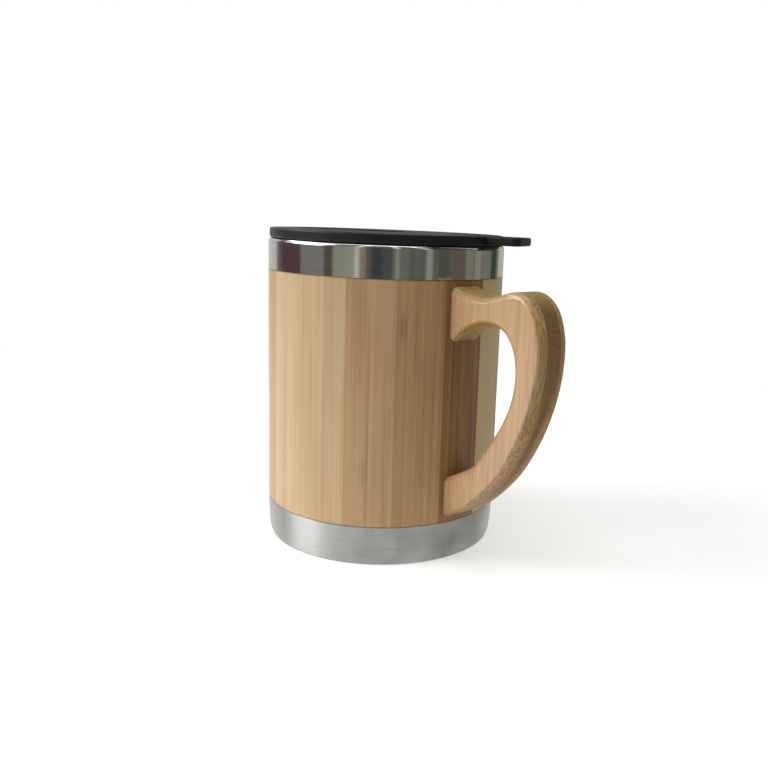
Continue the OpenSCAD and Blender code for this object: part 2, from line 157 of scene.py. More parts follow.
class LidSizes(bpy.types.PropertyGroup):
    """Sizes of the lid, its gasket and its slider"""

    turn: FloatProperty(name="Lid turn", description="Direction of the tab, counted from the handle",
                        default=math.radians(24.25), subtype="ANGLE")
    inset: size("Inset", "How far the lid's edge lies inside the cup's", 0.45)
    rounding: size("Edge rounding", "Rounding of the lid's edges", 0.7)
    tab_reach: size("Tab reach", "How far the tab stands out from the lid", 11.5)
    tab_width: size("Tab width", "Width of the tab", 17)
    tab_corner: size("Tab corner", "Rounding of the tab's corners", 3)
    tab_rise: size("Tab rise", "How far the tab's underside lies above the rim's", 0.5)
    plug_clear: size("Plug clearance", "Free space between the plug and the mouth", 0.5)
    plug_wall: size("Plug wall", "Thickness of the plug's wall", 2.2)
    groove: size("Groove", "Depth of the gasket's groove", 1.1)
    seal_gap: size("Seal gap", "Gap between the gasket's lips and the mouth", 0.1)
    seal_lip: size("Seal lip", "Height of each of the gasket's lips", 0.7)
    vent: size("Vent", "Diameter of the air vent", 2)
    vent_offset: size("Vent place", "Distance of the vent from the lid's middle", 20)
    margin: size("Pocket margin", "Plate between the slider's pocket and the plug", 1.5)
    sip_width: size("Sip width", "Width of the sip opening", 12)
    sip_length: size("Sip length", "Length of the sip opening", 7)
    land: size("Land", "Plate kept round the sip opening and the slot", 3)
    travel: size("Travel", "Travel of the slider", 12)
    slider_width: size("Slider width", "Width of the slider", 19.4)
    slider: size("Slider plate", "Thickness of the slider's plate", 1)
    slider_corner: size("Slider corner", "Rounding of the slider's corners", 3)
    side_gap: size("Side gap", "Clearance at the sides of the slider", 0.3)
    run_gap: size("Run gap", "Clearance under the slider and round the gasket", 0.05)
    rib: size("Rib", "Width and height of a grip rib", 0.8)
    rib_pitch: size("Rib pitch", "Distance between grip ribs", 2)
    rib_length: size("Rib length", "Length of the grip ribs", 12)
    rib_count: IntProperty(name="Ribs", description="Number of grip ribs", default=5, min=1)
    rib_clear: size("Rib clearance", "Gap between the ribs and the lid's top", 0.15)
    stem: size("Stem", "Side of the slider's square stem", 4)
    clip_length: size("Clip length", "Length of the clip on the stem", 8)
    clip_width: size("Clip width", "Width of the clip on the stem", 10)
    clip_edge: size("Clip edges", "Bevel of the clip's edges", 0.15)
    clip_play: size("Clip play", "How much wider the clip's hole is than the stem", 0.06)
    small_edge: size("Small edges", "Bevel of the moulded parts' small edges", 0.2)


class MugColours(bpy.types.PropertyGroup):
    """Colours of the mug's finishes"""

    bamboo_dark: paint("Browned bamboo", "Darkest tone of the staves", "#855A33")
    bamboo_mid: paint("Tan bamboo", "Middle tone of the staves", "#C49C6C")
    bamboo_pale: paint("Pale bamboo", "Palest tone of the staves", "#DABD92")
    ply: paint("Outer plies", "Tan of the handle's outer plies", "#D0A97B")
    sawn: paint("Sawn edges", "Olive gold of the handle's edges along the grain", "#AA8B55")
    ply_end: paint("End grain", "Tan of the outer plies' end grain", "#C09E68")
    core: paint("Middle ply", "Olive tan of the middle ply along the grain", "#B2955A")
    core_end: paint("Middle ply's end grain", "Dark brown of its end grain", "#8A6A42")
    steel: paint("Steel", "Colour of the stainless steel", "#C4C4C0")
    brushed: paint("Brushed steel", "Colour of the base, greyed by its brushing", "#BCBCB9")
    lid: paint("Lid", "Black of the lid's plastic", "#101313")
    slider: paint("Slider", "Charcoal of the slider's plastic", "#18181A")
    silicone: paint("Gasket", "Milky white of the silicone", "#DEDDD6")


# Modelling


def deselect():
    """Leaves nothing selected, in object mode."""
    if bpy.context.object and bpy.context.object.mode != "OBJECT":
        bpy.ops.object.mode_set(mode="OBJECT")
    bpy.ops.object.select_all(action="DESELECT")


def alone(piece):
    """Makes piece the only selected object and the active one."""
    deselect()
    piece.select_set(True)
    bpy.context.view_layer.objects.active = piece


def trace(name, corners, closed=True):
    """Starts a piece as one vertex and extrudes it from corner to corner, in edit mode."""
    deselect()
    bpy.ops.mesh.primitive_plane_add(size=MM)
    piece = bpy.context.object
    piece.name = piece.data.name = name
    bpy.ops.object.mode_set(mode="EDIT")
    bpy.ops.mesh.select_all(action="SELECT")
    bpy.ops.mesh.merge(type="CENTER")
    bpy.ops.transform.translate(value=corners[0])
    for a, b in zip(corners, corners[1:]):
        step = [q - p for p, q in zip(a, b)]
        bpy.ops.mesh.extrude_region_move(TRANSFORM_OT_translate={"value": step})
    bpy.ops.mesh.select_all(action="SELECT")
    if closed:
        bpy.ops.mesh.edge_face_add()
    return piece


def pick(piece, kind, test):
    """In edit mode, selects the verts, edges or faces of piece that pass the test, and nothing else."""
    bpy.ops.mesh.select_mode(type=kind[:-1].upper())
    bpy.ops.mesh.select_all(action="DESELECT")
    mesh = bmesh.from_edit_mesh(piece.data)
    mesh.normal_update()
    chosen = [part for part in getattr(mesh, kind) if test(part)]
    if not chosen:
        raise RuntimeError(f"{piece.name} has none of the {kind} that were looked for")
    for part in chosen:
        part.select_set(True)
    mesh.select_flush_mode()
    bmesh.update_edit_mesh(piece.data)


def rise_of(edge):
    """Height between the two ends of an edge."""
    return abs(edge.verts[0].co.z - edge.verts[1].co.z)


def finish_mesh(piece, smooth=30):
    """Merges doubles, turns the faces outwards, and shades the piece smooth by angle in object mode."""
    if piece.mode != "EDIT":
        alone(piece)
        bpy.ops.object.mode_set(mode="EDIT")
    bpy.ops.mesh.select_mode(type="VERT")
    bpy.ops.mesh.select_all(action="SELECT")
    bpy.ops.mesh.remove_doubles(threshold=MERGE)
    bpy.ops.mesh.normals_make_consistent(inside=False)
    bpy.ops.object.mode_set(mode="OBJECT")
    alone(piece)
    bpy.ops.object.shade_smooth_by_angle(angle=math.radians(smooth))


def spun(name, profile, steps, closed):
    """Spins a profile of (radius, height) places once round the cup's axis."""
    ring = profile + profile[:1] if closed else profile
    corners = []
    for a, b in zip(ring, ring[1:]):
        corners.append(a)
        # A corner held near each end of a long straight keeps it flat when it is shaded smooth
        if math.dist(a, b) > 8 * HOLD:
            near = HOLD / math.dist(a, b)
            corners += [tuple(p + (q - p) * t for p, q in zip(a, b)) for t in (near, 1 - near)]
    corners.append(ring[-1])
    piece = trace(name, [(r, 0, z) for r, z in corners], closed=False)
    bpy.ops.mesh.remove_doubles(threshold=MERGE)
    bpy.ops.mesh.select_all(action="SELECT")
    bpy.ops.mesh.spin(steps=steps, angle=math.tau, center=(0, 0, 0), axis=(0, 0, 1))
    finish_mesh(piece)
    return piece


def arc(centre, radius, start, stop, steps=8, high=None):
    """Places on an arc round centre, from start to stop degrees; high makes it part of an ellipse."""
    turns = [math.radians(start + (stop - start) * k / steps) for k in range(steps + 1)]
    return [(centre[0] + radius * math.cos(a), centre[1] + (high or radius) * math.sin(a)) for a in turns]


def carve(piece, tool, operation="DIFFERENCE"):
    """Cuts tool out of piece, or joins it on, and removes tool."""
    alone(piece)
    cut = piece.modifiers.new("Carve", "BOOLEAN")
    cut.object, cut.operation, cut.solver = tool, operation, "MANIFOLD"
    bpy.ops.object.modifier_apply(modifier=cut.name)
    bpy.data.objects.remove(tool)


def rod(radius, length, middle, along="Z", sides=64):
    """A round cutter of that length round its middle, along Z or X."""
    deselect()
    turn = (0, math.radians(90), 0) if along == "X" else (0, 0, 0)
    bpy.ops.mesh.primitive_cylinder_add(vertices=sides, radius=radius, depth=length, location=middle,
                                        rotation=turn)
    return bpy.context.object


def bar(name, x, length, width, corner, z, height, edge=0):
    """An upright block from x, with rounded corners and, where edge is given, bevelled rims."""
    piece = trace(name, [(x, -width / 2, z), (x + length, -width / 2, z), (x + length, width / 2, z),
                         (x, width / 2, z)])
    bpy.ops.mesh.bevel(affect="VERTICES", offset=corner, offset_type="OFFSET", segments=8)
    bpy.ops.mesh.select_all(action="SELECT")
    bpy.ops.mesh.extrude_region_move(TRANSFORM_OT_translate={"value": (0, 0, height)})
    bpy.ops.mesh.select_all(action="SELECT")
    bpy.ops.mesh.normals_make_consistent(inside=False)
    if edge:
        pick(piece, "edges", lambda e: rise_of(e) < height / 2)
        bpy.ops.mesh.bevel(offset=edge, segments=3)
    finish_mesh(piece, 40)
    return piece


def turned(piece, angle):
    """Turns piece round the cup's axis and applies it, so that its place is in its mesh."""
    piece.rotation_euler.z = angle
    alone(piece)
    bpy.ops.object.transform_apply(location=True, rotation=True, scale=True)


def dress(piece, material, body, node):
    """Gives piece its material and body, and hides the CAD node that it stands for."""
    alone(piece)
    flat = piece.modifiers.new("Flat faces", "WEIGHTED_NORMAL")
    flat.keep_sharp = True
    bpy.ops.object.modifier_apply(modifier=flat.name)
    piece.data.materials.clear()
    piece.data.materials.append(material)
    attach(piece, body)
    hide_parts(node)


# Materials


def feed(tree, node, inputs):
    """Gives a node's inputs their values or links. A node as a value stands for its first output in use."""
    for key, value in inputs.items():
        if isinstance(value, bpy.types.Node):
            value = next(socket for socket in value.outputs if socket.enabled)
        if isinstance(value, bpy.types.NodeSocket):
            tree.links.new(value, node.inputs[key])
        else:
            node.inputs[key].default_value = value


def add(tree, kind, *values, named=None, ramp=None, **settings):
    """Adds a node. values go to its inputs in their order, named holds inputs by socket, and ramp the places
    and colours of a colour ramp."""
    node = tree.nodes.new("ShaderNode" + kind)
    node.location = (-200 * (len(tree.nodes) % 12) - 200, -220 * (len(tree.nodes) // 12))
    for key, value in settings.items():
        setattr(node, key, value)
    feed(tree, node, {**dict(enumerate(values)), **(named or {})})
    if ramp:
        while len(node.color_ramp.elements) < len(ramp):
            node.color_ramp.elements.new(1)
        for element, (place, colour) in zip(node.color_ramp.elements, ramp):
            element.position, element.color = place, (*colour, 1)
    return node


def new_material(name):
    """Makes an empty node material and returns it with its tree and its shader."""
    material = bpy.data.materials.new(name)
    material.use_nodes = True
    tree = material.node_tree
    tree.nodes.clear()
    shader = add(tree, "BsdfPrincipled")
    output = add(tree, "OutputMaterial", shader)
    shader.location, output.location = (0, 0), (300, 0)
    return material, tree, shader


def times(colour, share):
    """A colour made darker or paler by a share."""
    return [min(1, c * share) for c in colour]


def in_mm(tree):
    """Places on the piece, in mm."""
    place = add(tree, "TexCoord").outputs["Object"]
    return add(tree, "VectorMath", place, named={"Scale": 1 / MM}, operation="SCALE")


def streaks(tree, grain, width, length, detail, roughness=0.5, seed=None):
    """A pattern of streaks that wide and long, in mm, along the third axis of grain. seed gives each strip
    a pattern of its own."""
    place = add(tree, "VectorMath", grain, (1 / width, 1 / width, 1 / length), operation="MULTIPLY")
    look = {"Scale": 1, "Detail": detail, "Roughness": roughness}
    if seed is None:
        return add(tree, "TexNoise", place, named=look)
    return add(tree, "TexNoise", place, seed, named=look, noise_dimensions="4D")


def lacquered_stave(colours):
    """Bamboo stave, planed, glued edge to edge, sanded round and lacquered satin. Upright fibres in strips
    of about 4.5 mm, each of its own tone, fine dark glue lines, and now and then the lens of a knuckle."""
    material, tree, shader = new_material("lacquered_bamboo_stave")
    x, y, z = add(tree, "SeparateXYZ", in_mm(tree)).outputs
    angle = add(tree, "Math", y, x, operation="ARCTAN2")
    # Four strips to a stave, each 4.5 mm of arc, and a number at random for each
    strip = add(tree, "Math", angle, 4 * len(STAVE_LOOKS) / math.tau, operation="MULTIPLY")
    number = add(tree, "Math", strip, operation="FLOOR")
    luck = add(tree, "TexWhiteNoise", named={"W": number}, noise_dimensions="1D")
    luck_1, luck_2, _ = add(tree, "SeparateXYZ", luck.outputs["Color"]).outputs
    seed = add(tree, "Math", luck, 40, operation="MULTIPLY")
    across = add(tree, "Math", strip, 4.5, operation="MULTIPLY")
    flat = add(tree, "CombineXYZ", x, y)
    radius = add(tree, "VectorMath", flat, operation="LENGTH")
    grain = add(tree, "CombineXYZ", across, radius, z)
    # Fibres about 0.35 mm wide and 60 mm long, drawn 0.45 mm wide so that they show
    fibre = streaks(tree, grain, 0.45, 60, 2, 0.6, seed)
    # Soft streaks about 1.6 mm wide that run most of the height
    streak = streaks(tree, grain, 1.6, 160, 2, 0.5, seed)
    # Slow change of tone up the stave
    cloud = streaks(tree, grain, 7, 45, 1)
    tone = add(tree, "Attribute", attribute_name="tone").outputs["Fac"]
    parts = ((luck, 0.12), (fibre, 0.3), (streak, 0.42), (cloud, 0.25))
    for part, share in parts:
        tone = add(tree, "Math", part, share, tone, operation="MULTIPLY_ADD")
    # Each part is 0.5 on average, which comes off again
    level = add(tree, "Math", tone, sum(share for part, share in parts) / 2, operation="SUBTRACT")
    wood = add(tree, "ValToRGB", level, ramp=[
        (0, times(colours.bamboo_dark, 0.72)), (0.2, colours.bamboo_dark),
        (0.42, [(a + b) / 2 for a, b in zip(colours.bamboo_dark, colours.bamboo_mid)]),
        (0.62, colours.bamboo_mid), (0.95, colours.bamboo_pale)])
    # Glue lines: a faint one up each stave's middle, and a darker one between staves
    half_part = add(tree, "Math", strip, 1, operation="PINGPONG")
    thin = add(tree, "MapRange", half_part, 0, 0.03, 0.95, 1)
    from_joint = add(tree, "Math", strip, 2, operation="ADD")
    stave_part = add(tree, "Math", from_joint, 2, operation="PINGPONG")
    thick = add(tree, "MapRange", stave_part, 0, 0.03, 0.82, 1)
    lines = add(tree, "Math", thin, thick, operation="MULTIPLY")
    # A knuckle: a lens 3 mm wide and 16 mm high, at a height of its own, in about one strip of ten
    knuckle_z = add(tree, "MapRange", luck_1, 0, 1, -420, 560)
    up = add(tree, "Math", z, knuckle_z, operation="SUBTRACT")
    up_share = add(tree, "Math", up, 1 / 8, operation="MULTIPLY")
    side = add(tree, "Math", strip, operation="FRACT")
    side_share = add(tree, "MapRange", side, 0, 1, -1.5, 1.5)
    lens_place = add(tree, "CombineXYZ", side_share, up_share)
    lens = add(tree, "VectorMath", lens_place, operation="LENGTH")
    lens_edge = add(tree, "Math", streak, 0.8, lens, operation="MULTIPLY_ADD")
    knuckle = add(tree, "MapRange", lens_edge, 0.85, 1.35, 1, 0)
    dashes = add(tree, "MapRange", fibre, 0.4, 0.6, 0.62, 0.95)
    marked = add(tree, "Mix", named={0: knuckle, 2: 1, 3: dashes})
    # The ends at the steel are painted darker: painted shade in the joints with the band and the base
    middle, end = (STAVE_LOW.z + STAVE_HIGH.z) / 2 / MM, (STAVE_HIGH.z - STAVE_LOW.z) / 2 / MM
    off_middle = add(tree, "Math", z, middle, operation="SUBTRACT")
    to_end = add(tree, "Math", off_middle, operation="ABSOLUTE")
    ends = add(tree, "MapRange", to_end, end - 0.6, end - 0.1, 1, 0.45)
    # Painted shade: the wood is painted a little darker towards the band and paler towards the base, as the
    # light falls
    rise = add(tree, "MapRange", z, STAVE_LOW.z / MM, STAVE_HIGH.z / MM, 1.07, 0.93)
    shade = lines
    for part in (ends, marked, rise):
        shade = add(tree, "Math", shade, part, operation="MULTIPLY")
    # Some strips are pinker and others more olive, with soft bands of both
    cast = add(tree, "Attribute", attribute_name="cast").outputs["Fac"]
    for part, share in ((luck_2, 0.3), (streaks(tree, grain, 2.4, 120, 1, 0.5, seed), 0.7)):
        cast = add(tree, "Math", part, share, cast, operation="MULTIPLY_ADD")
    tint = add(tree, "ValToRGB", cast, ramp=[
        (0.2, (0.9, 0.95, 0.76)), (0.5, (1, 1, 1)), (0.72, (1, 0.94, 0.96))])
    tinted = add(tree, "VectorMath", wood, tint, operation="MULTIPLY")
    colour = add(tree, "VectorMath", tinted, named={"Scale": shade}, operation="SCALE")
    rough = add(tree, "MapRange", fibre, 0.3, 0.7, 0.5, 0.4)
    height = add(tree, "Math", fibre, 0.35, lines, operation="MULTIPLY_ADD")
    bump = add(tree, "Bump", named={"Strength": 0.25, "Distance": 0.04 * MM, "Height": height})
    feed(tree, shader, {
        "Base Color": colour, "Roughness": rough, "Normal": bump, "IOR": 1.5, "Specular IOR Level": 0.35,
        "Coat Weight": 0.3, "Coat Roughness": 0.3})
    return material


def bamboo_ply(name, face, edge, end, fibres, ranges, dots, gloss, paler=0):
    """Bamboo ply, sawn to shape, its edges rounded over, and lacquered. The pattern is solid: fibre bundles
    1 mm apart run along one axis, so that they show as fine lines on the faces that run with them, and as
    brown dashes and dots where the surface cuts across them. face is the colour of the planed faces, edge
    that of edges sawn along the fibres and end that of edges sawn across them. fibres names the fibres'
    axis, ranges how squarely they are cut where their ends begin and finish to show, dots how far the ends
    turn brown, and gloss how much lacquer stands on the planed faces and on the edges. paler is how far the
    ply is paler beside its glue lines, low on the sweep."""
    material, tree, shader = new_material(name)
    axes = add(tree, "SeparateXYZ", in_mm(tree)).outputs
    facing_x, facing_y, facing_z = add(tree, "SeparateXYZ", add(tree, "TexCoord").outputs["Normal"]).outputs
    cross, squarely = ("X", facing_z) if fibres == "Z" else ("Z", facing_x)
    grain = add(tree, "CombineXYZ", axes[cross], axes["Y"], axes[fibres])
    # Fine fibres, drawn 0.4 mm wide so that they show
    fibre = streaks(tree, grain, 0.4, 55, 2, 0.6)
    # Fibre bundles 1 mm apart, which wander by 2 mm or so along the ply
    wander = streaks(tree, grain, 50, 45, 1).outputs["Color"]
    bundle_place = add(tree, "VectorMath", wander, (4, 4, 0), grain, operation="MULTIPLY_ADD")
    bundle = add(tree, "TexVoronoi", bundle_place, named={"Scale": 1, "Randomness": 0.8},
                 voronoi_dimensions="2D")
    streak = streaks(tree, grain, 3.2, 140, 2)
    # How squarely the surface cuts the fibres
    cut = add(tree, "Math", squarely, operation="ABSOLUTE")
    ends = add(tree, "MapRange", cut, *ranges, interpolation_type="SMOOTHSTEP")
    # The sawn edges all round are olive, and the planed faces tan
    sideways = add(tree, "Math", facing_y, operation="ABSOLUTE")
    sawn = add(tree, "MapRange", sideways, 0.985, 0.86, interpolation_type="SMOOTHSTEP")
    fibre_tone = add(tree, "Math", fibre, 0.35, operation="MULTIPLY")
    tone = add(tree, "Math", streak, 0.65, fibre_tone, operation="MULTIPLY_ADD")
    face_wood, edge_wood, end_wood = [add(tree, "ValToRGB", tone, ramp=[
        (0.3, times(colour, 0.86)), (0.5, colour), (0.7, times(colour, 1.1))])
        for colour in (face, edge, end)]
    # Low on the sweep the wood beside a glue line is paler, and so is the whole inner side of the grip
    to_middle = add(tree, "Math", axes["Y"], operation="ABSOLUTE")
    beside = add(tree, "MapRange", to_middle, 1, 2.4, interpolation_type="SMOOTHSTEP")
    low = add(tree, "MapRange", axes["Z"], 78, 55, interpolation_type="SMOOTHSTEP")
    inner = add(tree, "MapRange", facing_x, -0.1, -0.5, interpolation_type="SMOOTHSTEP")
    pale = add(tree, "Math", beside, low, operation="MULTIPLY")
    pale_share = add(tree, "Math", pale, 0.9 * paler, operation="MULTIPLY")
    kept = add(tree, "Math", 1, pale_share, operation="SUBTRACT")
    end_share = add(tree, "Math", ends, kept, operation="MULTIPLY")
    outer_rim = add(tree, "Mix", named={0: end_share, 6: edge_wood, 7: end_wood}, data_type="RGBA")
    rim = add(tree, "Mix", named={0: inner, 6: outer_rim, 7: face_wood}, data_type="RGBA")
    colour = add(tree, "Mix", named={0: sawn, 6: face_wood, 7: rim}, data_type="RGBA")
    # The bundles are browner than the wood round them, most of all where they are cut
    away = add(tree, "MapRange", bundle, 0.16, 0.42)
    half_ends = add(tree, "Math", ends, 0.5, 0.5, operation="MULTIPLY_ADD")
    cut_edge = add(tree, "Math", half_ends, sawn, operation="MULTIPLY")
    depth = add(tree, "MapRange", cut_edge, 0, 1, 0.28, dots)
    # They are fainter on the arms' upper and lower edges than on the grip
    level = add(tree, "Math", facing_z, operation="ABSOLUTE")
    level_share = add(tree, "MapRange", level, 0.2, 0.5, interpolation_type="SMOOTHSTEP")
    arms = add(tree, "MapRange", facing_x, 0.4, 0.1, 0, 0.65, interpolation_type="SMOOTHSTEP")
    fainter = add(tree, "Math", level_share, arms, operation="MULTIPLY")
    left = add(tree, "Math", 1, fainter, operation="SUBTRACT")
    brown = add(tree, "Math", 1, away, operation="SUBTRACT")
    for part in (depth, left):
        brown = add(tree, "Math", brown, part, operation="MULTIPLY")
    # Undersides are painted darker and warmer than the rest: painted shade under the handle. The brown of the
    # dots is the wood's own
    under = add(tree, "MapRange", facing_z, -0.15, -0.75)
    for share, stain_and_shade in ((brown, (0.5, 0.32, 0.16, 1)), (under, (0.9, 0.78, 0.58, 1))):
        tint = add(tree, "Mix", named={0: share, 6: (1, 1, 1, 1), 7: stain_and_shade}, data_type="RGBA")
        colour = add(tree, "VectorMath", colour, tint, operation="MULTIPLY")
    # A dark line where the roots are glued to the sleeve. The roots are painted a little paler than the grip:
    # painted light against the cup's shade on them
    flat = add(tree, "CombineXYZ", axes["X"], axes["Y"])
    radius = add(tree, "VectorMath", flat, operation="LENGTH")
    sleeve = BAND_HIGH.x / MM
    glued = add(tree, "MapRange", radius, sleeve + 0.15, sleeve + 0.6, 0.5, 1)
    painted_root_light = add(tree, "MapRange", radius, sleeve + 1, sleeve + 16, 1.15, 1)
    dim = add(tree, "Math", glued, painted_root_light, operation="MULTIPLY")
    colour = add(tree, "VectorMath", colour, named={"Scale": dim}, operation="SCALE")
    rough = add(tree, "MapRange", ends, 0, 1, 0.42, 0.55)
    coat = add(tree, "MapRange", sideways, 0.15, 0.5, *gloss[::-1])
    pits = add(tree, "Math", away, ends, operation="MULTIPLY")
    height = add(tree, "Math", fibre, 0.4, pits, operation="MULTIPLY_ADD")
    bump = add(tree, "Bump", named={"Strength": 0.35, "Distance": 0.06 * MM, "Height": height})
    feed(tree, shader, {
        "Base Color": colour, "Roughness": rough, "Normal": bump, "IOR": 1.5, "Specular IOR Level": 0.3,
        "Coat Weight": coat, "Coat Roughness": 0.16})
    return material


def stainless(name, colour, roughness, line, depth, contrast, anisotropy=0.0):
    """Stainless steel worked on a lathe. line is the width of the fine lines that run round the cup, in mm,
    and depth how far they stand out, also in mm. contrast is how much they change the tone. They pull
    highlights out upwards and downwards."""
    material, tree, shader = new_material(name)
    mm = in_mm(tree)
    x, y, z = add(tree, "SeparateXYZ", mm).outputs
    flat = add(tree, "CombineXYZ", x, y)
    radius = add(tree, "VectorMath", flat, operation="LENGTH")
    angle = add(tree, "Math", y, x, operation="ARCTAN2")
    place = add(tree, "CombineXYZ", angle, radius, z)
    # Lines are 25 degrees or so long, and cross both the wall and the floor
    lines_place = add(tree, "VectorMath", place, (2.3, 1 / line, 1 / line), operation="MULTIPLY")
    lines = add(tree, "TexNoise", lines_place, named={"Scale": 1, "Detail": 3, "Roughness": 0.65})
    tint = add(tree, "ValToRGB", lines, ramp=[
        (0.3, times(colour, 1 - contrast)), (0.5, colour), (0.7, times(colour, 1 + contrast))])
    # Smudges some 14 mm across
    smudge = add(tree, "TexNoise", mm, named={"Scale": 1 / 14, "Detail": 3})
    lines_rough = add(tree, "MapRange", lines, 0.3, 0.7, roughness * 0.82, roughness * 1.18)
    smudge_rough = add(tree, "MapRange", smudge, 0.3, 0.7, 0.85, 1.2)
    rough = add(tree, "Math", lines_rough, smudge_rough, operation="MULTIPLY")
    # Now and then a hairline scratch from handling, some 8 mm long
    wear_place = add(tree, "VectorMath", place, (5.5, 0.2, 2.2), operation="MULTIPLY")
    wear = add(tree, "TexNoise", wear_place, named={"Scale": 1, "Detail": 0})
    scratch = add(tree, "MapRange", wear, 0.76, 0.79, 1, 1 - 3 * contrast)
    worn = add(tree, "VectorMath", tint, named={"Scale": scratch}, operation="SCALE")
    bump = add(tree, "Bump", named={"Strength": 0.4, "Distance": depth * MM, "Height": lines})
    feed(tree, shader, {"Base Color": worn, "Roughness": rough, "Normal": bump, "Metallic": 1})
    if anisotropy:
        tangent = add(tree, "Tangent", direction_type="RADIAL", axis="Z")
        feed(tree, shader, {"Tangent": tangent, "Anisotropic": anisotropy, "Anisotropic Rotation": 0.25})
    return material


def moulded_plastic(name, colour, roughness):
    """ABS, injection moulded with a fine satin texture of about 0.3 mm, faintly uneven in gloss."""
    material, tree, shader = new_material(name)
    mm = in_mm(tree)
    grain = add(tree, "TexNoise", mm, named={"Scale": 1 / 0.3, "Detail": 2})
    flow = add(tree, "TexNoise", mm, named={"Scale": 1 / 18, "Detail": 3})
    rough = add(tree, "MapRange", flow, 0.3, 0.7, roughness * 0.85, roughness * 1.15)
    tint = add(tree, "ValToRGB", grain, ramp=[(0.3, times(colour, 0.85)), (0.7, times(colour, 1.15))])
    bump = add(tree, "Bump", named={"Strength": 0.3, "Distance": 0.02 * MM, "Height": grain})
    feed(tree, shader, {
        "Base Color": tint, "Roughness": rough, "Normal": bump, "IOR": 1.53, "Specular IOR Level": 0.28})
    return material


def milky_silicone(colour):
    """Food-grade silicone, pressed. Soft and milky, with a dull skin that picks up a little dust."""
    material, tree, shader = new_material("milky_silicone")
    haze = add(tree, "TexNoise", in_mm(tree), named={"Scale": 1 / 3, "Detail": 3})
    tint = add(tree, "ValToRGB", haze, ramp=[(0.3, times(colour, 0.92)), (0.7, times(colour, 1.04))])
    rough = add(tree, "MapRange", haze, 0.3, 0.7, 0.38, 0.5)
    bump = add(tree, "Bump", named={"Strength": 0.2, "Distance": 0.02 * MM, "Height": haze})
    feed(tree, shader, {
        "Base Color": tint, "Roughness": rough, "Normal": bump, "IOR": 1.41, "Subsurface Weight": 0.3,
        "Subsurface Scale": 0.8 * MM})
    return material


def zinc_plate():
    """Steel screws, bright zinc plated. Bluish grey, cloudy, with a soft gleam."""
    material, tree, shader = new_material("zinc_plated_steel")
    cloud = add(tree, "TexNoise", in_mm(tree), named={"Scale": 1 / 1.2, "Detail": 4})
    tint = add(tree, "ValToRGB", cloud, ramp=[(0.3, srgb("#A9ADB2")), (0.7, srgb("#CDD0D2"))])
    rough = add(tree, "MapRange", cloud, 0.3, 0.7, 0.28, 0.42)
    feed(tree, shader, {"Base Color": tint, "Roughness": rough, "Metallic": 1})
    return material


# Places that several pieces share


def cup_places(scene):
    """Radii and heights that the liner, the band, the base and the lid share."""
    steel, bamboo = scene.mug_steel, scene.mug_bamboo
    spigot_r = BAND_HIGH.x - bamboo.wall - bamboo.bond
    liner_r = spigot_r - steel.shell - steel.liner_gap
    bore_r = liner_r - steel.liner
    mouth_r = bore_r + steel.mouth_step
    plug_r = mouth_r - scene.mug_lid.plug_clear
    return SimpleNamespace(
        spigot_r=spigot_r, liner_r=liner_r, bore_r=bore_r, mouth_r=mouth_r, plug_r=plug_r,
        plug_in_r=plug_r - scene.mug_lid.plug_wall, step_z=STAVE_HIGH.z + steel.shell + steel.step_clear,
        join_r=mouth_r + steel.inner_lip + steel.lip_flat)


def lid_places(sizes, plug_in_r):
    """Places along the lid's own line, from the middle towards the tab."""
    pocket_far = plug_in_r - sizes.margin
    sip_x = sizes.land + sizes.side_gap - pocket_far
    slot_x = sip_x + sizes.sip_length + sizes.land
    slot_l = sizes.stem + sizes.travel + 2 * sizes.side_gap
    return SimpleNamespace(
        pocket_far=pocket_far, sip_x=sip_x, slot_x=slot_x, slot_l=slot_l,
        slider_l=slot_x + slot_l + sizes.land + pocket_far - sizes.side_gap,
        pocket_z=LID_HIGH.z - sizes.run_gap - sizes.slider - sizes.rib - sizes.rib_clear)


def smooth_curve(points, steps):
    """A smooth curve through the points, with that many steps between two of them."""
    curve = []
    for i in range(len(points) - 1):
        a, b, c, d = (Vector(points[min(max(i + k, 0), len(points) - 1)]) for k in (-1, 0, 1, 2))
        for k in range(steps):
            t = k / steps
            curve.append(b + t * (c - a) / 2 + t * t * (a - 2.5 * b + 2 * c - d / 2)
                         + t ** 3 * (-a + 3 * b - 3 * c + d) / 2)
    return curve + [Vector(points[-1])]


def handle_outline(bamboo, y, steps=6):
    """Corners of the handle's side view at y, with its roots run on into the sleeve."""
    low, high = STAVE_LOW.z + bamboo.low, STAVE_HIGH.z - bamboo.high
    inside = BAND_HIGH.x - 0.12 * bamboo.reach
    corners = []
    for shares, order in ((OUTER_SHARES, 1), (INNER_SHARES, -1)):
        places = [(BAND_HIGH.x + s * bamboo.reach, low + t * (high - low)) for s, t in shares]
        edge = smooth_curve(places, steps)
        edge = [Vector((inside, edge[0].y)), *edge, Vector((inside, edge[-1].y))]
        corners += edge[::order]
    return [(x, y, z) for x, z in corners]


# Operators


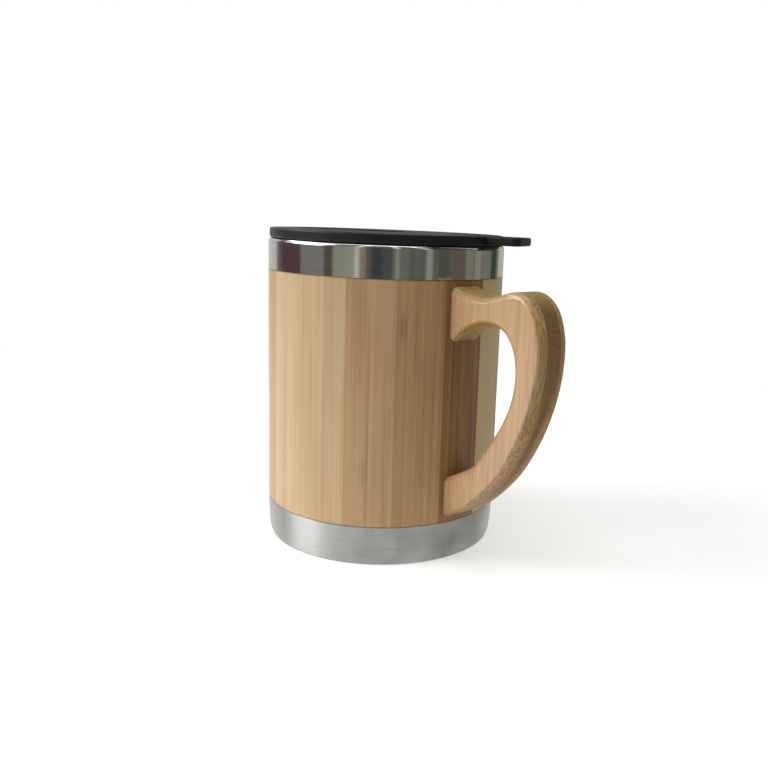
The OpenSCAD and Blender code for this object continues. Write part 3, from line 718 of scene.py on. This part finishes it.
class MUG_OT_liner(bpy.types.Operator):
    """Spin the drinking liner, with its rounded floor, its step and its half of the lip"""

    bl_idname = "mug.liner"
    bl_label = "Drinking liner"

    def execute(self, context):
        steel, cup = context.scene.mug_steel, cup_places(context.scene)
        wall, corner, inner = steel.liner, steel.liner_corner, steel.inner_lip
        floor_z = steel.foot_hollow + steel.shell + steel.floor_gap
        step_low, step_high = cup.step_z, cup.step_z + steel.mouth_step
        lip = (cup.mouth_r + inner, BAND_HIGH.z - inner)
        bend = (cup.bore_r - corner, floor_z + wall + corner)
        profile = [
            (0, floor_z + wall), *arc(bend, corner, -90, 0), (cup.bore_r, step_low), (cup.mouth_r, step_high),
            *arc(lip, inner, 180, 90), (cup.join_r, BAND_HIGH.z), (cup.join_r, BAND_HIGH.z - wall),
            *arc(lip, inner - wall, 90, 180), (cup.mouth_r + wall, step_high - wall * BEND_SHIFT),
            (cup.liner_r, step_low - wall * BEND_SHIFT), *arc(bend, corner + wall, 0, -90), (0, floor_z)]
        piece = spun("drinking_liner", profile, steel.steps, closed=False)
        metal = stainless("satin_stainless_steel", context.scene.mug_colours.steel, roughness=0.34, line=0.3,
                          depth=0.01, contrast=0.08, anisotropy=0.7)
        dress(piece, metal, "cup", "inner_liner")
        return {"FINISHED"}


class MUG_OT_band(bpy.types.Operator):
    """Spin the polished band, with the rounded lip and the spigot inside the bamboo"""

    bl_idname = "mug.band"
    bl_label = "Polished band"

    def execute(self, context):
        steel, cup = context.scene.mug_steel, cup_places(context.scene)
        wall, lip, radius, low, high = steel.shell, steel.lip, BAND_HIGH.x, STAVE_HIGH.z, BAND_HIGH.z
        turn_in, inner_r = (radius - lip, high - lip), cup.join_r + context.scene.mug_bamboo.bond
        spigot_in_r, spigot_z = cup.spigot_r - wall, low - steel.spigot
        profile = [
            (inner_r, high), *arc(turn_in, lip, 90, 0), (radius, low), (cup.spigot_r, low),
            (cup.spigot_r, spigot_z), (spigot_in_r, spigot_z), (spigot_in_r, low + wall),
            (radius - wall, low + wall), *arc(turn_in, lip - wall, 0, 90), (inner_r, high - wall)]
        piece = spun("polished_band", profile, steel.steps, closed=True)
        metal = stainless("polished_stainless_steel", context.scene.mug_colours.steel, roughness=0.1,
                          line=0.5, depth=0.0006, contrast=0.03)
        dress(piece, metal, "cup", "rim_band")
        return {"FINISHED"}


class MUG_OT_base(bpy.types.Operator):
    """Spin the brushed base, with its foot ring, the hollow inside it and the spigot inside the bamboo"""

    bl_idname = "mug.base"
    bl_label = "Brushed base"

    def execute(self, context):
        steel, cup = context.scene.mug_steel, cup_places(context.scene)
        wall, hollow, radius, top = steel.shell, steel.foot_hollow, BAND_HIGH.x, STAVE_LOW.z
        curve_h, foot_r = top - steel.base_straight, radius - steel.foot_draw
        foot_in_r, middle, inward = foot_r - steel.foot_width, (foot_r, curve_h), wall * BEND_SHIFT
        spigot_in_r, spigot_z = cup.spigot_r - wall, top + steel.spigot
        profile = [
            (0, hollow), (foot_in_r - hollow, hollow), (foot_in_r, 0),
            *arc(middle, steel.foot_draw, -90, 0, 16, high=curve_h), (radius, top), (cup.spigot_r, top),
            (cup.spigot_r, spigot_z), (spigot_in_r, spigot_z), (spigot_in_r, top - wall),
            (radius - wall, top - wall),
            *arc(middle, steel.foot_draw - wall, 0, -90, 16, high=curve_h - wall),
            (foot_in_r + inward, wall), (foot_in_r - hollow + inward, hollow + wall), (0, hollow + wall)]
        piece = spun("brushed_base", profile, steel.steps, closed=False)
        metal = stainless("brushed_stainless_steel", context.scene.mug_colours.brushed, roughness=0.4,
                          line=0.22, depth=0.008, contrast=0.1, anisotropy=1)
        dress(piece, metal, "cup", "base_cap")
        return {"FINISHED"}


class MUG_OT_staves(bpy.types.Operator):
    """Model one bamboo stave and copy it round the cup, each copy with its own tone"""

    bl_idname = "mug.staves"
    bl_label = "Bamboo staves"

    def execute(self, context):
        bamboo = context.scene.mug_bamboo
        radius, count = BAND_HIGH.x, len(STAVE_LOOKS)
        half = math.pi / count
        inner = radius - bamboo.wall
        ray = Vector((math.cos(half), math.sin(half), 0))
        piece = trace("stave", [r * ray + Vector((0, 0, z)) for r, z in (
            (inner, STAVE_LOW.z), (radius, STAVE_LOW.z), (radius, STAVE_HIGH.z), (inner, STAVE_HIGH.z))])
        # Without a window, spin turns clockwise seen from above
        bpy.ops.mesh.spin(steps=context.scene.mug_steel.steps // count, angle=2 * half, center=(0, 0, 0),
                          axis=(0, 0, 1))

        def outside(edge):
            return all(math.hypot(v.co.x, v.co.y) > radius - TOUCH for v in edge.verts)

        def at_end(edge):
            return min(abs(edge.verts[0].co.z - z) for z in (STAVE_LOW.z, STAVE_HIGH.z)) < TOUCH

        def at_joint(edge):
            return abs(abs(math.atan2(edge.verts[0].co.y, edge.verts[0].co.x)) - half) < 0.001

        pick(piece, "edges", lambda e: outside(e) and rise_of(e) < MM and at_end(e))
        bpy.ops.mesh.bevel(offset=bamboo.end_edge, segments=3)
        pick(piece, "edges", lambda e: outside(e) and rise_of(e) > MM and at_joint(e))
        bpy.ops.mesh.bevel(offset=bamboo.joint_edge, segments=2)
        finish_mesh(piece)
        wood = lacquered_stave(context.scene.mug_colours)
        for k, looks in enumerate(STAVE_LOOKS):
            alone(piece)
            bpy.ops.object.duplicate(linked=False)
            copy = context.object
            node = f"stave_{k + 1:02d}"
            copy.name = copy.data.name = "bamboo_" + node
            turned(copy, 2 * half * k)
            if k == 0:
                for screw in SCREWS:
                    low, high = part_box(screw)
                    z, head_r = (low.z + high.z) / 2, (high.z - low.z) / 2 + bamboo.head_room
                    carve(copy, rod(bamboo.screw_hole, HOLE_CUTTER, (radius, 0, z), "X"))
                    seat_x = inner + bamboo.head_seat - SEAT_CUTTER / 2
                    carve(copy, rod(head_r, SEAT_CUTTER, (seat_x, 0, z), "X"))
                finish_mesh(copy)
            for name, value in zip(("tone", "cast"), looks):
                field = copy.data.attributes.new(name, "FLOAT", "POINT")
                field.data.foreach_set("value", [value] * len(copy.data.vertices))
            dress(copy, wood, "cup", node)
        bpy.data.objects.remove(piece)
        return {"FINISHED"}


class MUG_OT_handle(bpy.types.Operator):
    """Saw the handle's three plies to shape, round the outer edges and seat the roots on the sleeve"""

    bl_idname = "mug.handle"
    bl_label = "Handle"

    def execute(self, context):
        bamboo, colours = context.scene.mug_bamboo, context.scene.mug_colours
        upright = bamboo_ply("bamboo_ply_upright_grain", colours.ply, colours.sawn, colours.ply_end,
                             fibres="Z", ranges=(0.1, 0.45), dots=0.8, gloss=(1, 0.15))
        crosswise = bamboo_ply("bamboo_ply_crosswise_grain", colours.core, colours.core, colours.core_end,
                               fibres="X", ranges=(0.45, 0.92), dots=0.5, gloss=(0.05, 0.05), paler=1)
        half = bamboo.core / 2
        for name, start, thick, wood, slot in (
                ("handle_left_ply", -half, -bamboo.side, upright, "handle_bamboo"),
                ("handle_core_ply", -half, bamboo.core, crosswise, "handle_core_bamboo"),
                ("handle_right_ply", half, bamboo.side, upright, "handle_bamboo")):
            piece = trace("bamboo_" + name, handle_outline(bamboo, start))
            bpy.ops.mesh.extrude_region_move(TRANSFORM_OT_translate={"value": (0, thick, 0)})
            bpy.ops.mesh.select_all(action="SELECT")
            bpy.ops.mesh.normals_make_consistent(inside=False)
            if wood is upright:
                outer = start + thick
                pick(piece, "edges", lambda e: all(abs(v.co.y - outer) < TOUCH for v in e.verts))
                bpy.ops.mesh.bevel(offset=bamboo.rounding, segments=6)
            finish_mesh(piece)
            carve(piece, rod(BAND_HIGH.x + bamboo.bond, SLEEVE_CUTTER, MIDDLE, sides=256))
            if wood is crosswise:
                for screw in SCREWS:
                    low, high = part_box(screw)
                    depth = high.x + bamboo.tip_room - BAND_HIGH.x
                    middle = (BAND_HIGH.x + depth / 2, 0, (low.z + high.z) / 2)
                    carve(piece, rod(bamboo.pilot, depth, middle, "X"))
            finish_mesh(piece)
            dress(piece, wood, "cup", name)
        return {"FINISHED"}


class MUG_OT_screws(bpy.types.Operator):
    """Give the handle's two screws their plating. They keep the frame's own shape"""

    bl_idname = "mug.screws"
    bl_label = "Handle screws"

    def execute(self, context):
        plating = zinc_plate()
        for node in SCREWS:
            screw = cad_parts[node]
            screw.data.materials.clear()
            screw.data.materials.append(plating)
        return {"FINISHED"}


class MUG_OT_lid(bpy.types.Operator):
    """Spin the lid with its plug, join the tab on, and cut the pocket, the openings and the vent"""

    bl_idname = "mug.lid"
    bl_label = "Lid"

    def execute(self, context):
        sizes, cup = context.scene.mug_lid, cup_places(context.scene)
        lid_r, rim_z, top = BAND_HIGH.x - sizes.inset, BAND_HIGH.z, LID_HIGH.z
        plug_r, plug_in_r, edge, small = cup.plug_r, cup.plug_in_r, sizes.rounding, sizes.small_edge
        groove_r = plug_r - sizes.groove
        groove_low, groove_high = GASKET_LOW.z - sizes.run_gap, GASKET_HIGH.z + sizes.run_gap
        profile = [
            (0, rim_z), (plug_in_r, rim_z), *arc((plug_in_r + small, LID_LOW.z + small), small, 180, 270, 3),
            *arc((plug_r - small, LID_LOW.z + small), small, 270, 360, 3), (plug_r, groove_low),
            (groove_r, groove_low), (groove_r, groove_high), (plug_r, groove_high), (plug_r, rim_z),
            *arc((lid_r - edge, rim_z + edge), edge, -90, 0, 6),
            *arc((lid_r - edge, top - edge), edge, 0, 90, 6), (0, top)]
        piece = spun("lid", profile, context.scene.mug_steel.steps, closed=False)
        tab_z = rim_z + sizes.tab_rise
        carve(piece, bar("tab", plug_r, lid_r + sizes.tab_reach - plug_r, sizes.tab_width, sizes.tab_corner,
                         tab_z, top - tab_z, edge), "UNION")
        line, gap, deep = lid_places(sizes, plug_in_r), sizes.side_gap, top - rim_z + 2 * MM
        carve(piece, bar("pocket", -line.pocket_far, line.slider_l + sizes.travel + 2 * gap,
                         sizes.slider_width + 2 * gap, sizes.slider_corner + gap, line.pocket_z,
                         top - line.pocket_z + MM))
        carve(piece, bar("sip", line.sip_x, sizes.sip_length, sizes.sip_width,
                         sizes.sip_length / 2 - context.scene.mug_bamboo.bond, rim_z - MM, deep))
        carve(piece, bar("slot", line.slot_x, line.slot_l, sizes.stem + 2 * gap, sizes.stem / 4,
                         rim_z - MM, deep))
        carve(piece, rod(sizes.vent / 2, deep, (sizes.vent_offset, 0, (top + rim_z) / 2), sides=48))
        alone(piece)
        bpy.ops.object.mode_set(mode="EDIT")
        # Rims of the pocket and the vent in the lid's top
        pick(piece, "edges", lambda e: all(abs(v.co.z - top) < TOUCH for v in e.verts)
             and not all(f.normal.z > 0.99 for f in e.link_faces)
             and max(math.hypot(v.co.x, v.co.y) for v in e.verts) < plug_r)
        bpy.ops.mesh.bevel(offset=small, segments=2)
        finish_mesh(piece, 35)
        turned(piece, sizes.turn)
        black = moulded_plastic("black_moulded_abs", context.scene.mug_colours.lid, 0.45)
        dress(piece, black, "lid", "lid_body")
        return {"FINISHED"}


class MUG_OT_gasket(bpy.types.Operator):
    """Spin the silicone gasket with its two soft lips"""

    bl_idname = "mug.gasket"
    bl_label = "Gasket"

    def execute(self, context):
        sizes, cup = context.scene.mug_lid, cup_places(context.scene)
        core_r = cup.plug_r - context.scene.mug_bamboo.bond
        inner_r = cup.plug_r - sizes.groove + sizes.run_gap
        tip, half_lip = cup.mouth_r - sizes.seal_gap - core_r, sizes.seal_lip / 2
        low, high = GASKET_LOW.z, GASKET_HIGH.z
        profile = [
            (inner_r, low), *arc((core_r, low + half_lip), tip, -90, 90, 10, high=half_lip),
            *arc((core_r, high - half_lip), tip, -90, 90, 10, high=half_lip), (inner_r, high)]
        piece = spun("gasket_ring", profile, context.scene.mug_steel.steps, closed=True)
        silicone = milky_silicone(context.scene.mug_colours.silicone)
        dress(piece, silicone, "lid_seal", "lid_gasket")
        return {"FINISHED"}


class MUG_OT_slider(bpy.types.Operator):
    """Model the slider with its grip ribs and stem, and the clip that holds the stem under the lid"""

    bl_idname = "mug.slider"
    bl_label = "Sip slider"

    def execute(self, context):
        sizes = context.scene.mug_lid
        line = lid_places(sizes, cup_places(context.scene).plug_in_r)
        plate_z, edge, stem = line.pocket_z + sizes.run_gap, sizes.small_edge, sizes.stem
        plate_middle, bottom = plate_z + sizes.slider / 2, CLIP_LOW.z
        stem_x = line.slot_x + sizes.side_gap + stem / 2
        piece = bar("sip_slider_plate", sizes.side_gap - line.pocket_far, line.slider_l, sizes.slider_width,
                    sizes.slider_corner, plate_z, sizes.slider, edge)
        carve(piece, bar("stem", stem_x - stem / 2, stem, stem, edge, bottom, plate_middle - bottom), "UNION")
        first = stem_x - (sizes.rib_count - 1) * sizes.rib_pitch / 2
        for k in range(sizes.rib_count):
            rib = bar("rib", first + k * sizes.rib_pitch - sizes.rib / 2, sizes.rib, sizes.rib_length,
                      sizes.rib * 0.45, plate_middle, sizes.slider / 2 + sizes.rib, edge)
            carve(piece, rib, "UNION")
        clip_h, hole = CLIP_HIGH.z - CLIP_LOW.z, stem + sizes.clip_play
        clip = bar("stem_clip", stem_x - sizes.clip_length / 2, sizes.clip_length, sizes.clip_width, clip_h,
                   bottom, clip_h, sizes.clip_edge)
        carve(clip, bar("hole", stem_x - hole / 2, hole, hole, edge / 2, bottom - MM, clip_h + 2 * MM))
        charcoal = moulded_plastic("charcoal_moulded_abs", context.scene.mug_colours.slider, 0.38)
        for moulding, node in ((piece, "sip_slider"), (clip, "slider_clip")):
            finish_mesh(moulding, 35)
            turned(moulding, sizes.turn)
            dress(moulding, charcoal, "slider", node)
        return {"FINISHED"}


# Name, width, power in watts and place of each lamp. The last one only gives gloss: it draws a line of light
# along the handle's shoulder
LAMPS = (
    ("key", 0.65, 6.7, (-0.47, -0.73, 0.62)),
    ("overhead", 0.7, 2.3, (0.1, -0.05, 0.95)),
    ("gleam", 0.14, 0.3, (-0.33, -0.1, 0.41)),
)
# Boards round the cup: radius and height of their lower and upper edge
WALL_EDGES = ((0.75, 0.004), (0.75, 0.42))
LOW_EDGES = ((0.75, 0.004), (0.75, 0.28))
ROOF_EDGES = ((0.75, 0.424), (0.22, 0.66))
FLOOR_EDGES = ((0.12, 0.001), (0.75, 0.001))
# Where each upright board starts and stops, in degrees round the cup, and its shade
WALL_BOARDS = [
    (-180, -166, "#D8D8D2"), (-166, -161, "#96928A"), (-161, -154, "#72685F"), (-98, -89, "#5E5750"),
    (-89, -76, "#A3A393"), (-76, -68, "#A6A69A"), (-68, -64, "#DCDCD4"), (-64, -58, "#9A8C7E"),
    (-58, -53, "#6E5E56"), (-53, -43, "#42464A"), (-43, -34, "#555658"), (-34, -31, "#77776F"),
    (-31, -28, "#A6A69C"), (-28, -18, "#767A70"), (-18, -14, "#62655E"), (-14, -8, "#6E706A"),
    (-8, -3, "#62645E"), (-3, 3, "#A6A8A2"), (3, 9, "#6C6E66"), (9, 20, "#5E5F56"), (20, 30, "#6E6860"),
    (30, 39, "#746759"), (39, 49, "#8F8D7D"), (49, 51, "#747267"), (51, 60, "#9E9C8C"), (60, 62, "#7F7D70"),
    (62, 78, "#86857A"), (78, 90, "#454F3F"), (90, 96, "#7F8675"), (96, 120, "#C4C8BA"),
    (120, 134, "#5C5C5A"), (134, 150, "#B4B4AE"), (150, 180, "#DADAD4"),
]
# Low ones, so that gloss sees the key lamp above them
LOW_BOARDS = [(-154, -125, "#5F494C"), (-125, -98, "#8E8B8A")]
# The same for the sloping boards above them, with gaps that leave streaks of light on the rounded lip
ROOF_BOARDS = [
    (-180, -154, "#8A8A86"), (-96, -70, "#7C7A76"), (-62, -33, "#6C6A66"), (-26, -4, "#686864"),
    (4, 60, "#4A4A47"), (68, 130, "#5A5A56"), (136, 180, "#70706C"),
]
# Grey boards on the floor, on the handle's side, that only reflections see: painted shade of the floor in the
# steel and the lacquer
FLOOR_BOARDS = [
    (-60, -45, "#E6E6E2"), (-45, -30, "#D6D6D0"), (-30, 8, "#C4C4BE"), (8, 108, "#A6A69E"),
    (108, 122, "#B8B8B0"), (122, 136, "#CCCCC6"), (136, 150, "#E0E0DC"),
]
# The camera stands where the photo was taken from. Degrees that it is turned round, tipped up and rolled
CAMERA_PLACE = (0.2584, -0.2074, 0.12608)
CAMERA_TURN, CAMERA_TIP, CAMERA_ROLL = 46.61, 78.69, 2.37
# Its focal length and the width of its sensor in mm, and its sideways shift as a share of that width
CAMERA_LENS, CAMERA_SENSOR, CAMERA_SHIFT = 38.88, 36, -0.086


def seen(tree):
    """1 for what the camera, gloss or glass sees, and 0 for light on the cup."""
    ray = add(tree, "LightPath").outputs
    share = ray["Is Camera Ray"]
    for kind in ("Is Glossy Ray", "Is Transmission Ray"):
        share = add(tree, "Math", share, ray[kind], operation="MAXIMUM")
    return share


def pale_floor():
    """Studio paper, matt white. It keeps the cup's shadow and turns into plain white further out."""
    material, tree, shader = new_material("white_studio_paper")
    place = add(tree, "TexCoord").outputs["Object"]
    flat = add(tree, "VectorMath", place, (1, 1, 0), operation="MULTIPLY")
    away = add(tree, "VectorMath", flat, operation="LENGTH")
    fade = add(tree, "MapRange", away, 0.12, 0.5, interpolation_type="SMOOTHSTEP")
    fibre = add(tree, "TexNoise", place, named={"Scale": 400, "Detail": 2})
    tint = add(tree, "ValToRGB", fibre, ramp=[(0.3, srgb("#F0F0EE")), (0.7, srgb("#F8F8F6"))])
    feed(tree, shader, {"Base Color": tint, "Roughness": 0.9, "Specular IOR Level": 0.1})
    # Near the cup the paper is lifted to white by an even share, so that only the shadow is left on it
    sight = seen(tree)
    lift = add(tree, "Math", sight, 0.45, operation="MULTIPLY")
    lifted = add(tree, "Emission", (1, 1, 1, 1), lift)
    near = add(tree, "AddShader", shader, lifted)
    share = add(tree, "Math", sight, fade, operation="MULTIPLY")
    white = add(tree, "Emission", (1, 1, 1, 1), 1)
    mixed = add(tree, "MixShader", share, near, white)
    feed(tree, tree.nodes["Material Output"], {"Surface": mixed})
    return material


def board_paint(name, shade):
    """Plain tinted card that shows its own colour whatever light falls on it."""
    material, tree, shader = new_material(name)
    feed(tree, tree.nodes["Material Output"], {"Surface": add(tree, "Emission", (*srgb(shade), 1))})
    tree.nodes.remove(shader)
    return material


def pale_world(scene):
    """White where the camera, gloss or glass sees it, and softer as light on the cup."""
    world = bpy.data.worlds.new("studio_air")
    scene.world = world
    world.use_nodes = True
    tree = world.node_tree
    tree.nodes.clear()
    strength = add(tree, "MapRange", seen(tree), 0, 1, 0.3, 1)
    add(tree, "OutputWorld", add(tree, "Background", (1, 1, 1, 1), strength))


class MUG_OT_stage(bpy.types.Operator):
    """Lay the pale floor, hang the soft lights and place the camera"""

    bl_idname = "mug.stage"
    bl_label = "Stage"

    def execute(self, context):
        deselect()
        bpy.ops.mesh.primitive_circle_add(vertices=96, radius=6, fill_type="NGON")
        floor = context.object
        floor.name = "floor"
        floor.data.materials.append(pale_floor())
        pale_world(context.scene)
        for name, width, watts, place in LAMPS:
            deselect()
            bpy.ops.object.light_add(type="AREA", location=place)
            lamp = context.object
            lamp.name = name
            lamp.data.size, lamp.data.energy = width, watts
            lamp.rotation_euler = (MIDDLE - lamp.location).to_track_quat("-Z", "Y").to_euler()
            lamp.visible_camera = False
            lamp.visible_diffuse = name != "gleam"
        # Dark and tinted boards that only reflections see, so that the polished band has something to show
        boards = [(*board, edges) for edges, group in (
            (WALL_EDGES, WALL_BOARDS), (LOW_EDGES, LOW_BOARDS), (ROOF_EDGES, ROOF_BOARDS),
            (FLOOR_EDGES, FLOOR_BOARDS)) for board in group]
        for k, (start, stop, shade, edges) in enumerate(boards):
            (low_r, low_z), (high_r, high_z) = edges
            turns = [math.radians(start + (stop - start) * i / 6) for i in range(7)]
            corners = [(low_r * math.cos(a), low_r * math.sin(a), low_z) for a in turns]
            corners += [(high_r * math.cos(a), high_r * math.sin(a), high_z) for a in turns[::-1]]
            board = trace(f"board_{k + 1:02d}", corners)
            deselect()
            board.data.materials.append(board_paint(board.name, shade))
            board.visible_camera = board.visible_diffuse = board.visible_shadow = False
            board.visible_transmission = False
        deselect()
        turn = Matrix.Identity(3)
        for angle, axis in ((CAMERA_TURN, "Z"), (CAMERA_TIP, "X"), (CAMERA_ROLL, "Z")):
            turn = turn @ Matrix.Rotation(math.radians(angle), 3, axis)
        bpy.ops.object.camera_add(location=CAMERA_PLACE, rotation=turn.to_euler())
        camera = context.object
        camera.name = "camera"
        camera.data.lens, camera.data.sensor_width = CAMERA_LENS, CAMERA_SENSOR
        camera.data.shift_x = CAMERA_SHIFT
        camera.data.clip_start, camera.data.clip_end = 0.01, 20
        context.scene.camera = camera
        context.scene.view_settings.view_transform = "Standard"
        return {"FINISHED"}


GROUPS = {"mug_steel": SteelSizes, "mug_bamboo": BambooSizes, "mug_lid": LidSizes, "mug_colours": MugColours}
OPERATORS = [MUG_OT_liner, MUG_OT_band, MUG_OT_base, MUG_OT_staves, MUG_OT_handle, MUG_OT_screws, MUG_OT_lid,
             MUG_OT_gasket, MUG_OT_slider, MUG_OT_stage]


class MUG_PT_build(bpy.types.Panel):
    """Buttons and sizes of the mug"""

    bl_idname = "MUG_PT_build"
    bl_label = "Lidded bamboo mug"
    bl_space_type = "VIEW_3D"
    bl_region_type = "UI"
    bl_category = "Mug"

    def draw(self, context):
        for operator in OPERATORS:
            self.layout.operator(operator.bl_idname)
        for group in GROUPS:
            values = getattr(context.scene, group)
            box = self.layout.box()
            for name in values.bl_rna.properties.keys():
                if name not in ("rna_type", "name"):
                    box.prop(values, name)


def register():
    for item in [*GROUPS.values(), *OPERATORS, MUG_PT_build]:
        bpy.utils.register_class(item)
    for name, group in GROUPS.items():
        setattr(bpy.types.Scene, name, PointerProperty(type=group))


def unregister():
    for name in GROUPS:
        delattr(bpy.types.Scene, name)
    for item in reversed([*GROUPS.values(), *OPERATORS, MUG_PT_build]):
        bpy.utils.unregister_class(item)


def main():
    """Builds every piece and the stage."""
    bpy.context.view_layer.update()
    register()
    for operator in OPERATORS:
        group, name = operator.bl_idname.split(".")
        getattr(getattr(bpy.ops, group), name)()
    deselect()


if __name__ == "__main__":
    main()
